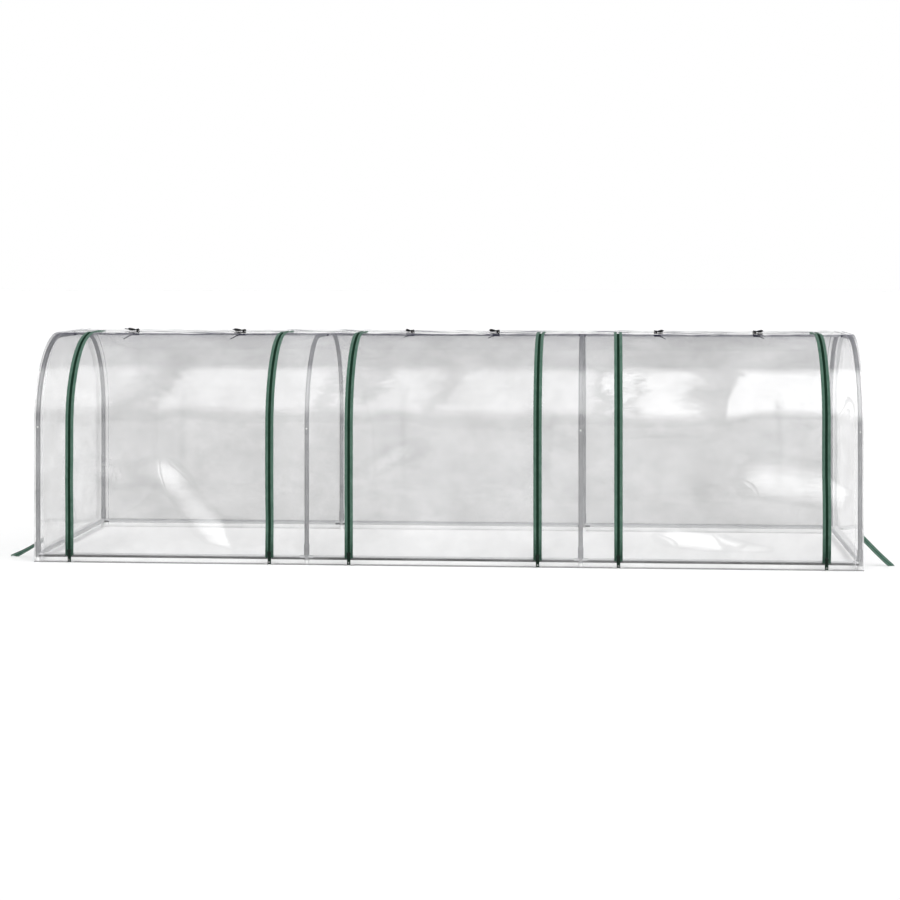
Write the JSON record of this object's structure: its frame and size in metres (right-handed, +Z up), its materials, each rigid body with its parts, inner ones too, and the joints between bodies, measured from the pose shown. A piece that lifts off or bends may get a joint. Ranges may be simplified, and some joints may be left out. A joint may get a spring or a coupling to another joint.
{
  "type": "polytunnel greenhouse",
  "caption": "Low polytunnel greenhouse: bent steel hoops on a base frame under a clear film cover, with zipped roll-up doors along the front.",
  "frame": {"origin": "middle of the tunnel's footprint, on the ground under its feet", "axes": "+X along the tunnel, to the right as the doors are faced; -Y out of the doors; +Z up"},
  "size_m": [3.2037, 1.0099, 0.8299],
  "materials": {
    "galvanised_tube": "satin galvanised",
    "steel_fitting": "satin galvanised",
    "black_plastic": "matt moulded",
    "clear_film": "clear glossy film",
    "zip_tape": "woven tape with a plastic coil",
    "zip_metal": "bright plated",
    "tie_ribbon": "woven ribbon",
    "ground_webbing": "woven webbing"
  },
  "bodies": {
    "root": {"front_leg_1": "galvanised_tube", "front_leg_2": "galvanised_tube", "front_leg_3": "galvanised_tube", "front_leg_4": "galvanised_tube", "back_leg_1": "galvanised_tube", "back_leg_2": "galvanised_tube", "back_leg_3": "galvanised_tube", "back_leg_4": "galvanised_tube", "front_bow_1": "galvanised_tube", "front_bow_2": "galvanised_tube", "front_bow_3": "galvanised_tube", "front_bow_4": "galvanised_tube", "back_bow_1": "galvanised_tube", "back_bow_2": "galvanised_tube", "back_bow_3": "galvanised_tube", "back_bow_4": "galvanised_tube", "front_rails": "galvanised_tube", "back_rails": "galvanised_tube", "left_end_rail": "galvanised_tube", "right_end_rail": "galvanised_tube", "ridge_bars": "galvanised_tube", "corner_feet": "steel_fitting", "tee_feet": "steel_fitting", "ridge_crosses": "black_plastic", "back_cover": "clear_film", "left_end_panel": "clear_film", "right_end_panel": "clear_film", "front_strip_1": "clear_film", "front_strip_2": "clear_film", "front_strip_3": "clear_film", "front_strip_4": "clear_film", "door_1": "clear_film", "door_2": "clear_film", "door_3": "clear_film", "zip_1": "zip_tape", "zip_2": "zip_tape", "zip_3": "zip_tape", "zip_4": "zip_tape", "zip_5": "zip_tape", "zip_6": "zip_tape", "zip_sliders": "zip_metal", "door_ties": "tie_ribbon", "left_strap": "ground_webbing", "right_strap": "ground_webbing"}
  },
  "joints": []
}
